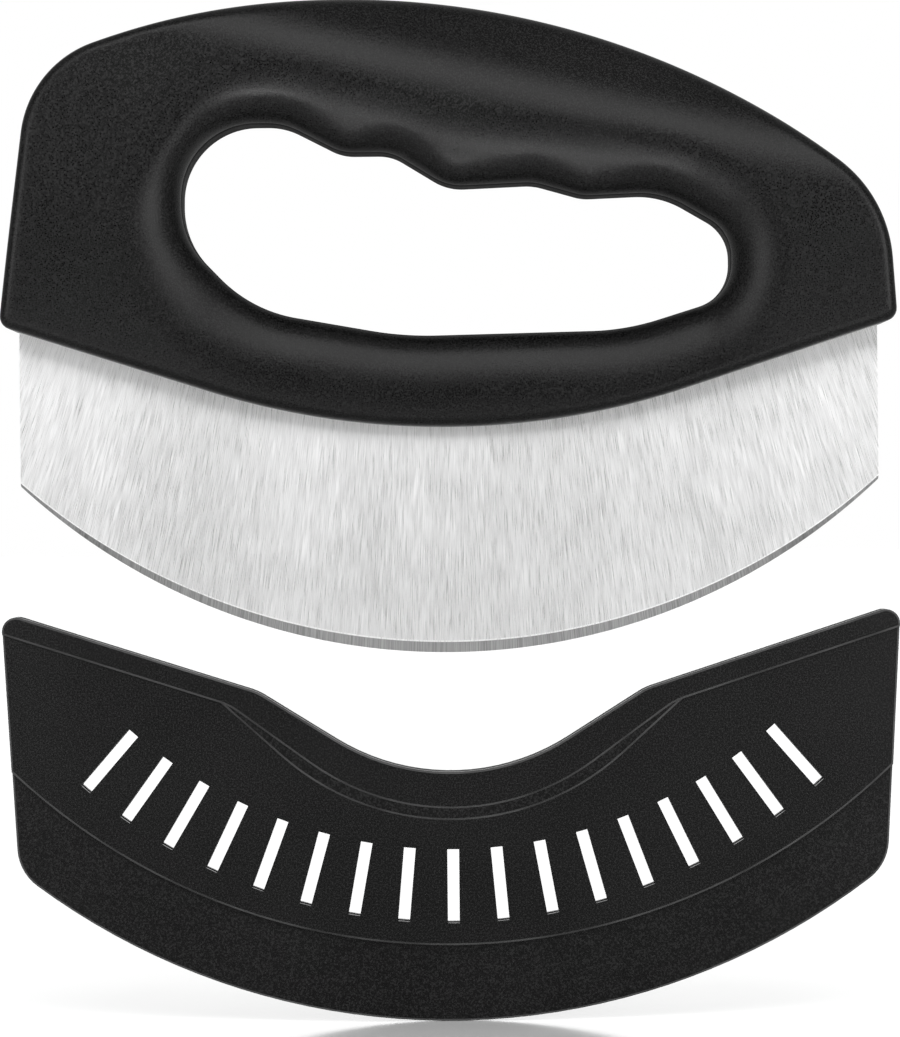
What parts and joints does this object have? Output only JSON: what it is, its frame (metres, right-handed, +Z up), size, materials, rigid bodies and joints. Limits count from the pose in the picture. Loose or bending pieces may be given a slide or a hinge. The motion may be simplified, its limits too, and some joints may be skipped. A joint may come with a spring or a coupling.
{
  "type": "rocking pizza knife",
  "caption": "Rocking pizza knife: a wide curved steel blade under a ring-shaped hand grip, with a slotted slip-on sheath drawn off below the edge.",
  "frame": {"origin": "middle of the grip bar, where the hand holds the knife", "axes": "+X along the blade, towards the lower end of the grip; +Y through the thickness, away from the viewer of the front; +Z up, from the cutting edge to the grip"},
  "size_m": [0.1822, 0.025, 0.2074],
  "materials": {
    "steel": "brushed, grain fanning down to the ground edge",
    "core_plastic": "hidden hard plastic, black",
    "grip_skin": "soft-touch black with a fine grain",
    "sheath_plastic": "matte black with a fine moulded grain"
  },
  "bodies": {
    "knife": {"blade": "steel", "handle_core": "core_plastic", "handle_grip": "grip_skin"},
    "sheath": {"sheath": "sheath_plastic"}
  },
  "joints": [
    {"name": "sheath_slide", "type": "slide", "parent": "knife", "child": "sheath", "axis": [0, 0, 1], "range_m": [0, 0.0575]}
  ]
}
